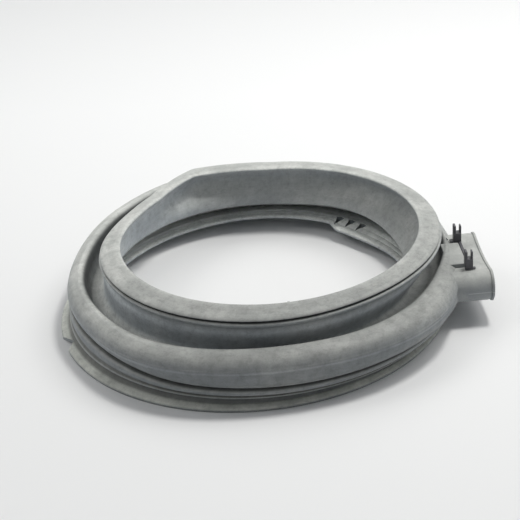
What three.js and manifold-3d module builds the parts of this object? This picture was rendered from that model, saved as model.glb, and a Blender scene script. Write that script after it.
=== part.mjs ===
import * as THREE from "three";
import * as BufferGeometryUtils from "three/addons/utils/BufferGeometryUtils.js";
import Module from "manifold-3d";

const wasm = await Module();
wasm.setup();

// Main sizes of the seal, in millimetres. The tub side lies on z = 0.
const TUB_RADIUS = 199.6;
const LIP_OPENING_RADIUS = 149;
const LIP_OUTER_RADIUS = 172;
const LIP_TOP = 79.5;
const ROLL_RADIUS = 202.6;
const ROLL_WIDEST_Z = 41;
const ROLL_CREST_RADIUS = 183.5;
const ROLL_CREST_Z = 53.5;
const NECK_RADIUS = 166.5;
const WALL_LOW_RADIUS = 151;
const WALL_LOW_Z = 32;
const RING_INNER_RADIUS = 156.5;
const RING_TOP_Z = 13.5;
const RUBBER_THICKNESS = 4.5;
const LIP_SHIFT = 16.6;
const ROLL_SHARE = 0.69;

// The channel for the tub's rim and the groove for the clamp band.
const CHANNEL_INNER_RADIUS = 184;
const CHANNEL_OUTER_RADIUS = 189;
const CHANNEL_DEPTH = 12.5;
const CHANNEL_LEG = 4.2;
const CLAMP_GROOVE_RADIUS = 193.5;

// The air duct: a flat spout on the roll's side, pointing along +X.
const DUCT_CENTRE_Y = -37.5;
const DUCT_WIDTH = 104;
const DUCT_BOTTOM_Z = 19.8;
const DUCT_TOP_Z = 50.5;
const DUCT_END_X = 223;
const DUCT_WALL = 4;
const DUCT_LIP = 2.4;
const DUCT_SAG = 3.5;
const MOUTH_OVERCUT = 4;

// The pad and the forked clip on top of the duct.
const PAD_HEIGHT = 2.4;
const PAD_LENGTH_Y = 44;
const PAD_FROM_X = 186;
const PAD_TO_X = 204;
const CLIP_GAP = 0.3;
const CLIP_PITCH = 55;
const CLIP_X = 204;
const CLIP_CENTRE_Y = -40.5;
const POST_SIZE = 7.6;
const POST_HEIGHT = 11;
const PRONG_HEIGHT = 8;
const PRONG_THICKNESS = 2.2;
const SEAT_MARGIN = 1.5;
const STRIP_THICKNESS = 2;
const STRIP_WIDTH = 3;

// The lobe with its three drain recesses on the lower ring.
const LOBE_FROM = 6;
const LOBE_RAMP = 34;
const LOBE_TO = 55.5;
const LOBE_RISE = 8;
const LOBE_DEPTH = 11.5;
const RECESS_ANGLES = [52.3, 46.8, 41.3];
const RECESS_TIP_RADIUS = 150;
const RECESS_END_RADIUS = 165;
const RECESS_HALF_WIDTH = 4.6;
const RECESS_DEPTH = 2.6;

// The V notch in the skirt.
const NOTCH_TIP_ANGLE = 198.8;
const NOTCH_TIP_RADIUS = 194.6;
const NOTCH_FROM_ANGLE = 194;
const NOTCH_TO_ANGLE = 201.8;

// How the soft rubber lies: angles in degrees round the opening, lengths in millimetres.
const KINK = { angle: 115, skew: 3, out: 13, lift: 2.2, left: 24, right: 30 };
const DENT = { angle: 152, inward: 8, spread: 36 };
const BULGE = { angle: 124, out: 11, lift: 5.5, spread: 56 };
const LIP_TILT = { angle: 95, rise: 2.4, spread: 110 };
const SAG = { angle: -86, out: 3.5, halfPeriod: 41 };
const DUCT_FLAT = { angle: 2, inward: 12, spread: 44 };
const FOOT_SHIFT = 4;
const FLANGE_LEAN = 10;
const CHANNEL_LEAN_SHARE = 0.49;
const NARROW = { angle: 188, out: 4, spread: 72 };
const RAISE = { angle: 200, up: 9, spread: 50 };

const AZIMUTH_STEPS = 88;

function smooth(from, to, value) {
  const t = Math.min(1, Math.max(0, (value - from) / (to - from)));
  return t * t * (3 - 2 * t);
}

function degrees(angle) {
  return THREE.MathUtils.degToRad(angle);
}

function turn(angle) {
  return ((angle % 360) + 540) % 360 - 180;
}

// A rounded hump along the ring, 1 at the angle given and 0 beyond its spread.
function bell(angle, at, spread) {
  const away = Math.min(1, Math.abs(turn(angle - at)) / spread);
  return 0.5 + 0.5 * Math.cos(Math.PI * away);
}

// How much of the sideways shift of the lip a point of the section takes.
function shiftShare(r, z) {
  const inner = Math.min(1, Math.max(0, (z - 30) / 36));
  const outer = ROLL_SHARE * smooth(19, 39, z);
  const blend = smooth(156, 176, r) * (1 - smooth(48, 62, z));
  return inner + (outer - inner) * blend;
}

// The crease at the back left pushes the lip and the neck out and up.
function kinkAmount(angle, r, z) {
  const skew = KINK.skew * (LIP_OUTER_RADIUS - r) / (LIP_OUTER_RADIUS - LIP_OPENING_RADIUS);
  const away = turn(angle - KINK.angle - skew);
  const near = Math.max(0, 1 - Math.abs(away) / (away < 0 ? KINK.right : KINK.left));
  return Math.pow(near, 1.25) * smooth(34, 70, z);
}

// The roll stands out and up behind the crease.
function bulgeAmount(angle, r, z) {
  return bell(angle, BULGE.angle, BULGE.spread) * smooth(166, 180, r) * smooth(20, 38, z) * (1 - smooth(56, 64, z));
}

// The roll is drawn in at the front, swells on either side of it and is flattened behind the duct.
function rollOffset(angle, r, z) {
  const away = Math.abs(turn(angle - SAG.angle));
  const wave = -Math.cos(Math.PI * away / SAG.halfPeriod);
  const fade = 1 - smooth(1.1 * SAG.halfPeriod, 2 * SAG.halfPeriod, away);
  const sag = SAG.out * wave * fade * smooth(168, 186, r);
  const flat = DUCT_FLAT.inward * bell(angle, DUCT_FLAT.angle, DUCT_FLAT.spread) * smooth(ROLL_RADIUS - 24.6, ROLL_RADIUS - 2.6, r);
  return (sag - flat) * smooth(22, 38, z) * (1 - smooth(56, 64, z));
}

// The roll is narrower at the left: its inner side stands further out.
function narrowOffset(angle, r, z) {
  const inner = smooth(168, 176, r) * (1 - smooth(184, 192, r)) * smooth(24, 32, z) * (1 - smooth(56, 64, z));
  return NARROW.out * bell(angle, NARROW.angle, NARROW.spread) * inner;
}

// The skirt and the bead lean to the right as they rise, while the channel between them stays straight.
function leanOffset(r, z) {
  const outside = smooth(0, 18, z) * (1 - smooth(22, 38, z));
  const channel = (1 - smooth(CHANNEL_OUTER_RADIUS + 1, CHANNEL_OUTER_RADIUS + 4, r))
    * (1 - smooth(CHANNEL_DEPTH, CHANNEL_DEPTH + 1.5, z));
  return FLANGE_LEAN * smooth(172, 184, r) * (outside + (CHANNEL_LEAN_SHARE - outside) * channel);
}

// The bead over the clamp groove rides up at the left front.
function raiseAmount(angle, r, z) {
  const band = smooth(190, 194, r) * smooth(12, 20, z) * (1 - smooth(23, 38, z));
  return RAISE.up * bell(angle, RAISE.angle, RAISE.spread) * band;
}

// The lower ring swells inwards at the lobe.
function lobeOffset(angle, r, z) {
  const along = smooth(LOBE_FROM, LOBE_FROM + LOBE_RAMP, angle) * (1 - smooth(LOBE_TO - LOBE_RISE, LOBE_TO, angle));
  return LOBE_DEPTH * along * (1 - smooth(RING_INNER_RADIUS, RING_INNER_RADIUS + 15, r)) * (1 - smooth(20, 26, z));
}

// Where a point of the section goes at an angle round the opening.
function place(r, z, angle) {
  const kink = kinkAmount(angle, r, z);
  const bulge = bulgeAmount(angle, r, z);
  const lip = smooth(58, 70, z);
  const dent = DENT.inward * bell(angle, DENT.angle, DENT.spread) * lip * (r - 128) / 44;
  const drape = KINK.out * kink + BULGE.out * bulge - dent + narrowOffset(angle, r, z);
  const radius = r + drape + rollOffset(angle, r, z) - lobeOffset(angle, r, z);
  const lean = leanOffset(r, z);
  const tilt = LIP_TILT.rise * bell(angle, LIP_TILT.angle, LIP_TILT.spread) * lip * (r - 160) / 12;
  const a = degrees(angle);
  return new THREE.Vector3(
    radius * Math.cos(a) + LIP_SHIFT * shiftShare(r, z) - FOOT_SHIFT * (1 - smooth(13, 30, z)) + lean,
    radius * Math.sin(a),
    z + KINK.lift * kink + BULGE.lift * bulge + tilt + raiseAmount(angle, r, z),
  );
}

// The rubber's cross-section, from the skirt's foot round to the skirt's edge.
function sectionPoints() {
  const leg = CHANNEL_INNER_RADIUS - CHANNEL_LEG;
  const foot = [
    [TUB_RADIUS, 0], [TUB_RADIUS - 2.8, 0], [CHANNEL_OUTER_RADIUS, 3.6], [CHANNEL_OUTER_RADIUS, CHANNEL_DEPTH],
    [CHANNEL_INNER_RADIUS, CHANNEL_DEPTH], [CHANNEL_INNER_RADIUS, 0], [leg, 0], [leg, RING_TOP_Z - RUBBER_THICKNESS],
    [RING_INNER_RADIUS + 2, RING_TOP_Z - RUBBER_THICKNESS + 0.5],
  ];
  const ring = [
    [RING_INNER_RADIUS, RING_TOP_Z - 2], [RING_INNER_RADIUS + 1, RING_TOP_Z],
    [RING_INNER_RADIUS + 14, RING_TOP_Z + 2.4], [189, 20],
  ];
  const cavity = [
    [194, 26.5], [ROLL_RADIUS - 4.3, ROLL_WIDEST_Z], [194, 47.2], [187.5, 48.9], [183.4, 45.2],
    [181.8, 36], [177.5, 28.8], [168, 26.6],
  ];
  const wall = [
    [WALL_LOW_RADIUS + 3.5, WALL_LOW_Z - 1.8], [WALL_LOW_RADIUS, WALL_LOW_Z], [154.4, 44], [160.4, 64.5], [157, 72.4],
  ];
  const lip = [
    [LIP_OPENING_RADIUS + 0.6, LIP_TOP - 3], [LIP_OPENING_RADIUS, LIP_TOP - 1.2], [LIP_OPENING_RADIUS + 2, LIP_TOP],
    [LIP_OUTER_RADIUS - 5, LIP_TOP - 4], [LIP_OUTER_RADIUS - 0.4, LIP_TOP - 6.6], [LIP_OUTER_RADIUS - 1, LIP_TOP - 8.4],
  ];
  const bead = [
    [165, 71.4], [165, 69.5], [LIP_OUTER_RADIUS - 1.4, 69.5], [LIP_OUTER_RADIUS - 0.8, 67],
    [NECK_RADIUS + 0.4, 64.4],
  ];
  const groove = [[163.6, 52], [158.6, 40], [160.2, 33.6], [167, 31.6], [174, 34], [177.3, 40], [178.4, 48]];
  const roll = [
    [ROLL_CREST_RADIUS - 3, 52.2], [ROLL_CREST_RADIUS + 3, ROLL_CREST_Z], [194.5, 51.6], [200.2, 47],
    [ROLL_RADIUS - 0.5, ROLL_WIDEST_Z + 0.9], [ROLL_RADIUS, ROLL_WIDEST_Z - 0.4], [ROLL_RADIUS - 1, ROLL_WIDEST_Z - 1.4],
    [200.6, 32.5], [197.6, 23],
  ];
  const clamp = [
    [194.8, 20.6], [198.2, 19], [198.6, 15.4], [CLAMP_GROOVE_RADIUS, 12.4], [CLAMP_GROOVE_RADIUS, 7.2],
    [TUB_RADIUS + 0.2, 2.6],
  ];
  return [...foot, ...ring, ...cavity, ...wall, ...lip, ...bead, ...groove, ...roll, ...clamp];
}

function azimuths() {
  const list = [];
  for (let k = 0; k < AZIMUTH_STEPS; k += 1) list.push((360 * k) / AZIMUTH_STEPS);
  return list;
}

// Joins the displaced copies of a closed section into one ring.
function ringGeometry(section) {
  const angles = azimuths();
  const positions = [];
  for (const angle of angles) {
    for (const [r, z] of section) positions.push(...place(r, z, angle).toArray());
  }
  const count = section.length;
  const index = [];
  for (let k = 0; k < angles.length; k += 1) {
    const here = k * count;
    const next = ((k + 1) % angles.length) * count;
    for (let i = 0; i < count; i += 1) {
      const j = (i + 1) % count;
      index.push(here + i, here + j, next + j);
      index.push(here + i, next + j, next + i);
    }
  }
  const geometry = new THREE.BufferGeometry();
  geometry.setAttribute("position", new THREE.Float32BufferAttribute(positions, 3));
  geometry.setIndex(index);
  return geometry;
}

function solidOf(geometry) {
  const bare = geometry.clone();
  bare.deleteAttribute("normal");
  bare.deleteAttribute("uv");
  const merged = BufferGeometryUtils.mergeVertices(bare, 1e-4);
  const mesh = new wasm.Mesh({
    numProp: 3,
    vertProperties: new Float32Array(merged.attributes.position.array),
    triVerts: new Uint32Array(merged.index.array),
  });
  mesh.merge();
  return new wasm.Manifold(mesh);
}

function geometryOf(solid) {
  const mesh = solid.getMesh();
  const positions = new Float32Array(mesh.numVert * 3);
  for (let k = 0; k < mesh.numVert; k += 1) {
    for (let c = 0; c < 3; c += 1) positions[3 * k + c] = mesh.vertProperties[k * mesh.numProp + c];
  }
  const geometry = new THREE.BufferGeometry();
  geometry.setAttribute("position", new THREE.BufferAttribute(positions, 3));
  geometry.setIndex(new THREE.BufferAttribute(new Uint32Array(mesh.triVerts), 1));
  return geometry;
}

// A rounded rectangle in the plane across the duct, with its top sagging in the middle.
function ductOutline(width, bottom, top, sag) {
  const radius = (top - bottom) / 2 - 0.6;
  const half = width / 2;
  const shape = new THREE.Shape();
  shape.moveTo(-half + radius, bottom);
  shape.lineTo(half - radius, bottom);
  shape.absarc(half - radius, bottom + radius, radius, -Math.PI / 2, 0, false);
  shape.absarc(half - radius, top - radius, radius, 0, Math.PI / 2, false);
  shape.quadraticCurveTo(0, top - 2 * sag, -half + radius, top);
  shape.absarc(-half + radius, top - radius, radius, Math.PI / 2, Math.PI, false);
  shape.absarc(-half + radius, bottom + radius, radius, Math.PI, 1.5 * Math.PI, false);
  return shape;
}

// Pushes an outline drawn across the duct out along +X.
function alongDuct(shape, fromX, toX) {
  const geometry = new THREE.ExtrudeGeometry(shape, { depth: toX - fromX, bevelEnabled: false, curveSegments: 8 });
  geometry.applyMatrix4(new THREE.Matrix4().set(
    0, 0, 1, fromX,
    1, 0, 0, DUCT_CENTRE_Y,
    0, 1, 0, 0,
    0, 0, 0, 1,
  ));
  return geometry;
}

// All that lies inside a surface some way in from the roll's outer face.
function rollCore(depth) {
  const inner = 120;
  const top = ROLL_CREST_Z - Math.min(depth, RUBBER_THICKNESS);
  return solidOf(ringGeometry([
    [inner, top], [ROLL_CREST_RADIUS, top],
    [ROLL_RADIUS - 9.6 - 0.6 * depth, ROLL_CREST_Z - 1.7 - 0.8 * depth],
    [ROLL_RADIUS - 2.6 - depth, ROLL_CREST_Z - 6.3 - 0.4 * depth], [ROLL_RADIUS - depth, ROLL_WIDEST_Z],
    [ROLL_RADIUS - 1.6 - depth, ROLL_WIDEST_Z - 8], [ROLL_RADIUS - 4.6 - depth, ROLL_WIDEST_Z - 15],
    [ROLL_RADIUS - 8.1 - depth, ROLL_WIDEST_Z - 20], [ROLL_RADIUS - 8.1 - depth, ROLL_WIDEST_Z - 31],
    [inner, ROLL_WIDEST_Z - 31],
  ]));
}

function box(x0, x1, y0, y1, z0, z1) {
  const geometry = new THREE.BoxGeometry(x1 - x0, y1 - y0, z1 - z0);
  geometry.translate((x0 + x1) / 2, (y0 + y1) / 2, (z0 + z1) / 2);
  return geometry;
}

function ductShell() {
  const body = solidOf(alongDuct(ductOutline(DUCT_WIDTH, DUCT_BOTTOM_Z, DUCT_TOP_Z, DUCT_SAG), 150, DUCT_END_X));
  const rim = solidOf(alongDuct(
    ductOutline(DUCT_WIDTH + DUCT_LIP, DUCT_BOTTOM_Z - DUCT_LIP / 2, DUCT_TOP_Z + DUCT_LIP / 2, DUCT_SAG),
    DUCT_END_X - 1, DUCT_END_X + DUCT_LIP,
  ));
  const pad = solidOf(box(
    PAD_FROM_X, PAD_TO_X, CLIP_CENTRE_Y - PAD_LENGTH_Y / 2, CLIP_CENTRE_Y + PAD_LENGTH_Y / 2,
    DUCT_BOTTOM_Z + 20, DUCT_TOP_Z + PAD_HEIGHT,
  ));
  return body.add(rim).add(pad).subtract(rollCore(RUBBER_THICKNESS / 2));
}

function ductBore() {
  const bore = solidOf(alongDuct(
    ductOutline(DUCT_WIDTH - 2 * DUCT_WALL, DUCT_BOTTOM_Z + DUCT_WALL, DUCT_TOP_Z - DUCT_WALL, DUCT_SAG),
    140, DUCT_END_X + 20,
  ));
  return bore.subtract(rollCore(RUBBER_THICKNESS + MOUTH_OVERCUT));
}

// A flat seat for a post, cut down into the shoulder of the roll.
function seatCut(centreY) {
  const half = POST_SIZE / 2 + SEAT_MARGIN;
  return solidOf(box(CLIP_X - half - 5, CLIP_X + half, centreY - half, centreY + half, DUCT_TOP_Z, DUCT_TOP_Z + 20));
}

// The flat shelf that the clip's strip lies on, beyond the pad.
function shelfCut() {
  const half = (CLIP_PITCH + POST_SIZE) / 2 + SEAT_MARGIN;
  const shelf = box(PAD_TO_X, DUCT_END_X - 2, CLIP_CENTRE_Y - half, CLIP_CENTRE_Y + half, DUCT_TOP_Z, DUCT_TOP_Z + 20);
  return solidOf(shelf);
}

function polar(radius, angle) {
  return new THREE.Vector2(radius * Math.cos(degrees(angle)), radius * Math.sin(degrees(angle)));
}

function prism(points, bottom, top) {
  const geometry = new THREE.ExtrudeGeometry(new THREE.Shape(points), { depth: top - bottom, bevelEnabled: false });
  geometry.translate(0, 0, bottom);
  return solidOf(geometry);
}

function notchCut() {
  const outer = TUB_RADIUS + 8;
  return prism([
    polar(NOTCH_TIP_RADIUS, NOTCH_TIP_ANGLE),
    polar(outer, NOTCH_FROM_ANGLE - 2.4),
    polar(outer, NOTCH_TO_ANGLE + 0.8),
  ].reverse(), -5, 9);
}

function recessCut(angle) {
  const halfAngle = THREE.MathUtils.radToDeg(RECESS_HALF_WIDTH / RECESS_END_RADIUS);
  return prism([
    polar(RECESS_TIP_RADIUS, angle),
    polar(RECESS_END_RADIUS, angle - halfAngle),
    polar(RECESS_END_RADIUS + 1, angle),
    polar(RECESS_END_RADIUS, angle + halfAngle),
  ], RING_TOP_Z - RECESS_DEPTH + 0.8, RING_TOP_Z + 8);
}

function doorSeal() {
  let solid = solidOf(ringGeometry(sectionPoints()));
  solid = solid.add(ductShell()).subtract(ductBore()).subtract(notchCut());
  solid = solid.subtract(seatCut(CLIP_CENTRE_Y - CLIP_PITCH / 2)).subtract(seatCut(CLIP_CENTRE_Y + CLIP_PITCH / 2));
  solid = solid.subtract(shelfCut());
  for (const angle of RECESS_ANGLES) solid = solid.subtract(recessCut(angle));
  return geometryOf(solid);
}

// One forked post of the clip, standing on the duct's top.
function forkedPost(centreY, base) {
  const half = POST_SIZE / 2;
  const x0 = CLIP_X - half;
  const x1 = CLIP_X + half;
  const block = solidOf(box(x0, x1, centreY - half, centreY + half, base, base + POST_HEIGHT));
  const top = base + POST_HEIGHT + PRONG_HEIGHT;
  const left = solidOf(box(x0, x0 + PRONG_THICKNESS, centreY - half, centreY + half, base + 1, top));
  const right = solidOf(box(x1 - PRONG_THICKNESS, x1, centreY - half, centreY + half, base + 1, top));
  return block.add(left).add(right);
}

function ductClip() {
  const base = DUCT_TOP_Z + CLIP_GAP;
  const strip = solidOf(box(
    PAD_TO_X + CLIP_GAP, PAD_TO_X + CLIP_GAP + STRIP_WIDTH,
    CLIP_CENTRE_Y - CLIP_PITCH / 2, CLIP_CENTRE_Y + CLIP_PITCH / 2, base, base + STRIP_THICKNESS,
  ));
  const far = forkedPost(CLIP_CENTRE_Y + CLIP_PITCH / 2, base);
  const near = forkedPost(CLIP_CENTRE_Y - CLIP_PITCH / 2, base);
  return geometryOf(strip.add(far).add(near));
}

function mesh(name, geometry, material) {
  const part = new THREE.Mesh(geometry, material);
  part.name = name;
  return part;
}

const group = new THREE.Group();
group.name = "washing_machine_door_seal";
group.add(mesh("door_seal", doorSeal(), new THREE.MeshStandardMaterial({ color: 0x9a9d97, roughness: 0.7 })));
group.add(mesh("duct_clip", ductClip(), new THREE.MeshStandardMaterial({ color: 0x3f4046, roughness: 0.5 })));

// The origin goes to the middle of the foot of the bounding box.
const bounds = new THREE.Box3().setFromObject(group);
const centre = bounds.getCenter(new THREE.Vector3());
for (const part of group.children) part.geometry.translate(-centre.x, -centre.y, -bounds.min.z);

export default group;
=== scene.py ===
import math

import bmesh
import bpy
import numpy as np
from mathutils import Matrix, Vector

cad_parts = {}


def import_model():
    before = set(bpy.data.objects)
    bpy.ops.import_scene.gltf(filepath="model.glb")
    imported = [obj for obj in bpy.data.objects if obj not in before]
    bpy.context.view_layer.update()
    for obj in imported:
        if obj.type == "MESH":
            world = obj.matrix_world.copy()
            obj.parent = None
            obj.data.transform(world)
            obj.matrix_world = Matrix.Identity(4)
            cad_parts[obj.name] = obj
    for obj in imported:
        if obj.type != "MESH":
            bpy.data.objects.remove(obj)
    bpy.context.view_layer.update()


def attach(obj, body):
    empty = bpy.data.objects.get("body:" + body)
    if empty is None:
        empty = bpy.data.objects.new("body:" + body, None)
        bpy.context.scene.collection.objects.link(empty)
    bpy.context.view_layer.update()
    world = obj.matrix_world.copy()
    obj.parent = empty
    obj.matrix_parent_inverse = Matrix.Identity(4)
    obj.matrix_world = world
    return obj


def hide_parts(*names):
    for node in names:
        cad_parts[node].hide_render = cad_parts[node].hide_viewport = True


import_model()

MM = 0.001

# Main sizes of the seal, in millimetres, in the section's own frame.
TUB_RADIUS = 199.6
LIP_OPENING_RADIUS = 149
LIP_OUTER_RADIUS = 172
ROLL_RADIUS = 202.6
ROLL_CREST_Z = 53.5
RING_INNER_RADIUS = 156.5
RING_TOP_Z = 13.5
LIP_SHIFT = 16.6
LIP_TOP_LIMIT = 79.95
LIP_NUB = {"angle": -86, "radius": 149, "z": 77.8, "size": 2.2}
ROLL_SHARE = 0.69
FOOT_SHIFT = 4
FLANGE_LEAN = 10
CHANNEL_LEAN_SHARE = 0.49
CHANNEL_OUTER_RADIUS = 189
CHANNEL_DEPTH = 12.5
ORIGIN = (10.9, 3.795, 0)
RUBBER_THICKNESS = 4.5
CORE_INNER_RADIUS = 120
CORE_BOTTOM_Z = 10
CORE_STEPS = 120
CORE_TOP_RADIUS = 183.5
AZIMUTH_STEPS = 336
RUN_STEP = 2.4
SHARP_RUBBER = 38
SHARP_PLASTIC = 30

# The duct with its pad, and the clip on it.
DUCT_CENTRE_Y = -37.5
DUCT_WIDTH = 104
DUCT_BOTTOM_Z = 19.8
DUCT_TOP_Z = 50.5
DUCT_END_X = 223.8
DUCT_WALL = 4
DUCT_SEAM_Z = 34
DUCT_LIP = 1.5
SHELF_MARGIN = 4
DUCT_SAG = 3.5
DUCT_INNER_X = 150
BORE_INNER_X = 140
BORE_FLARE = 4
DUCT_ARC_INSET = 0.6
RIM_GROOVE = 0.5
PAD_DEPTH_Z = 20
PAD_BEVEL = 0.9
PAD_HEIGHT = 2.4
PAD_LENGTH_Y = 44
PAD_FROM_X = 186
PAD_TO_X = 204
CLIP_PITCH = 55
CLIP_X = 204
CLIP_CENTRE_Y = -40.5
POST_SIZE = 7.6
POST_HEIGHT = 11
PRONG_HEIGHT = 8
PRONG_THICKNESS = 2.2
SEAT_MARGIN = 1.5
SEAT_REACH = 5
CUT_HEIGHT = 20
CLIP_GAP = 0.3
STRIP_WIDTH = 3
STRIP_HEIGHT = 2
STRIP_BEVEL = 0.4
POST_BEVEL = 0.7
PRONG_BEVEL = 0.5
PRONG_ROOT = 1
THIN_PRONG = {"share": 0.7, "inset": 1, "drop": 0.6, "bevel": 0.4}
FOOT_ROOT = 1
FAR_FOOT = {"reach": 3.4, "inset": 0.6, "height": 2.2, "bevel": 0.5}
NEAR_FOOT = {"reach": 2.6, "inset": 0.2, "width": 2.8, "height": 1.6, "bevel": 0.4}

# The duct's mouth: how far beyond its end, and how far it grows there.
MOUTH_PROFILE = (
    (-3.4, 0), (-2.6, -RIM_GROOVE), (-1.4, -RIM_GROOVE), (-0.8, DUCT_LIP / 2), (0.6, DUCT_LIP / 2 + 0.3),
    (DUCT_LIP - 0.4, DUCT_LIP / 2), (DUCT_LIP, DUCT_LIP / 2 - 0.6),
)
BORE_PROFILE = ((0.4, 0), (20, BORE_FLARE))

# The roll's outer face: its radius and height, each with how much it gives way for a millimetre of depth.
CORE_FACE = (
    (193, 0.6, 51.8, 0.8), (200, 1, 47.2, 0.4), (ROLL_RADIUS, 1, 41, 0), (201, 1, 33, 0), (198, 1, 26, 0),
    (194.5, 1, 21, 0), (194.5, 1, CORE_BOTTOM_Z, 0),
)

# The lobe, its recesses and the notch.
LOBE_FROM = 6
LOBE_RAMP = 34
LOBE_TO = 55.5
LOBE_RISE = 8
LOBE_DEPTH = 11.5
RECESS_ANGLES = (52.3, 46.8, 41.3)
RECESS_TIP_RADIUS = 150
RECESS_END_RADIUS = 165
RECESS_HALF_WIDTH = 4.6
RECESS_DEPTH = 1.8
RECESS_OVERCUT = 8
NOTCH_TIP_ANGLE = 198.8
NOTCH_TIP_RADIUS = 194.6
NOTCH_FROM_ANGLE = 191.6
NOTCH_TO_ANGLE = 202.6
NOTCH_OVERCUT = 8
NOTCH_TOP_Z = 9

# How the soft rubber lies: angles in degrees round the opening, lengths in millimetres.
# A pair is the radius or the height over which a form fades in or out.
KINK = {"angle": 115, "skew": 3, "out": 13, "lift": 2.2, "left": 24, "right": 30,
        "power": 1.25, "rise_z": (34, 70)}
DENT = {"angle": 152, "inward": 8, "spread": 36, "pivot_radius": 128}
BULGE = {"angle": 124, "out": 11, "lift": 5.5, "spread": 56, "radius": (166, 180), "foot_z": (20, 38)}
LIP_TILT = {"angle": 95, "rise": 2.4, "spread": 110, "pivot_radius": 160}
LIP_Z = (58, 70)
SAG = {"angle": -86, "out": 3.5, "half_period": 41, "fade": (1.1, 2), "radius": (168, 186)}
DUCT_FLAT = {"angle": 2, "inward": 12, "spread": 44, "radius": (178, 200)}
ROLL_FOOT_Z = (22, 38)
ROLL_TOP_Z = (56, 64)
NARROW = {"angle": 188, "out": 4, "spread": 72}
TUCK = {"angle": -34, "inward": 4.5, "spread": 40}
INNER_SIDE = {"from_radius": (168, 176), "to_radius": (184, 192), "foot_z": (24, 32)}
RAISE = {"angle": 200, "up": 9, "spread": 50, "radius": (190, 194), "from_z": (12, 20), "to_z": (23, 38)}
LIP_TRIM = {"angle": -55, "inward": 4, "spread": 45, "from_radius": (160, 168), "to_radius": (173, 176),
            "from_z": (56, 66)}
WALL_EDGE = {"angle": 115, "up": 3, "spread": 75, "radius": (160, 172), "from_z": (24, 29), "to_z": (36, 60)}
WALL_GAP = {"angle": 42, "up": 6, "spread": 42}
RING_RISE = {"angle": 75, "up": 2.8, "spread": 75, "radius": (172, 184), "from_z": (4, 9), "to_z": (18, 22)}
SHIFT = {"inner_z": (30, 66), "outer_z": (19, 39), "radius": (156, 176), "top_z": (48, 62),
         "foot_z": (13, 30)}
LEAN = {"from_z": (0, 18), "to_z": (22, 38), "radius": (172, 184), "channel_r": (1, 4), "channel_z": 1.5}
LOBE_FADE = {"width": 15, "top_z": (20, 26)}

# The camera.
CAMERA_TARGET = (-5.65, 76.14, 0)
CAMERA_PLACE = (-5.65, -989.9, 575.1)
CAMERA_ROLL = -0.09069
FOCAL_PX = 1100
FRAME_PX = 520
SENSOR_MM = 36

# The lamps: name, place and size in metres, and level.
LAMP_COLOUR = (1, 0.995, 0.975)
LAMPS = (
    ("overhead", (0.62, 0.22, 1.8), 0.34, 0.46),
    ("back", (-0.1, 1.8, 2.6), 2.4, 0.19),
    ("left", (-2.2, 0.4, 2.6), 1.6, 0.14),
    ("right", (2.0, 0.6, 2.6), 1.4, 0.2),
)
SKY_COLOUR = (0.93, 0.965, 1, 1)
SKY = {"even": 0.0, "left": 0.3, "right": 0.5, "back": 0.2, "up": 0.14}

# Painted light and shade along the rubber's section: millimetres from the foot, and a share of its colour.
# Darker stops paint shade in the grooves, gaps and cavity; paler ones paint light on the ring, neck and skirt
# and a highlight on the roll's parting line; one paler stop is a rubbed edge at the lip's inner edge.
SECTION_LENGTH = 448.8
SECTION_LIGHT_AND_SHADE = (
    (0, 1.0), (70, 1.1), (77, 1.5), (83, 1.8), (90, 2.2), (99, 2.1), (104, 1.7), (110, 0.4), (196, 0.55),
    (200, 0.95), (250, 1.0), (255, 1.05), (262, 0.88), (272, 0.98), (277, 0.9), (280.5, 0.4),
    (287.3, 0.38), (289, 1.2), (293, 1.15), (296, 0.8), (304, 2.4), (326, 2.3), (346, 0.4),
    (356, 0.1), (364, 0.12), (367.5, 0.85), (371, 0.98), (377, 0.86), (395.6, 1.02), (396.3, 1.8),
    (397.4, 0.98),
)
SKIRT_LIGHT_AND_SHADE = (
    (410, 0.98), (411.8, 1.1), (413.2, 0.6), (418.5, 0.36), (420.5, 1.0), (424, 1.1), (426.5, 0.65),
    (428.4, 0.44), (429.6, 1.2), (431, 0.45), (434, 0.4), (438.4, 0.5), (440.4, 1.4), (444.4, 1.6),
    (446.4, 1.1), (SECTION_LENGTH, 0.75),
)
SKIRT_FROM = (409.9, 410.1)
# Painted bounce light: an olive tint painted into the clamp groove's shade.
GROOVE_BOUNCE_TINT = (1.0, 0.997, 0.955)
GROOVE_BOUNCE_TINT_FROM = (424, 434)
WALL_FROM = (198, 202)
WALL_TO = (246, 252)

# The rubber's colours, mottled from dark to pale, on its sides and on its tops, which are paler from chalky
# bloom and painted top light.
BODY_COLOURS = ((0.3, (0.255, 0.275, 0.29)), (0.5, (0.305, 0.325, 0.335)), (0.7, (0.375, 0.39, 0.39)))
BLOOM_AND_TOP_LIGHT_COLOURS = ((0.3, (0.36, 0.37, 0.355)), (0.5, (0.44, 0.45, 0.43)), (0.7, (0.55, 0.555, 0.53)))
BLOOM_AND_TOP_LIGHT_SLOPE = (0.1, 0.85)

# Painted light and shade tied to place, darker at the front and paler at the left and on the inner wall's
# left part, and the painted highlight on the duct's seam: from and to in metres, then the share of the colour
# at each end.
FRONT_SHADE_TO_BACK_LIGHT = (-0.2, 0.14, 0.68, 1.12)
LEFT_SIDE_LIGHT = (-0.18, -0.05, 1.2, 1.0)
WALL_LEFT_LIGHT = (-0.14, -0.06, 1.6, 1.0)
DUCT_FROM_X = (0.1885, 0.1895)
SEAM_HALF_WIDTH = (0.0003, 0.0006)
SEAM_HIGHLIGHT_TONE = 1.5

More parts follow.
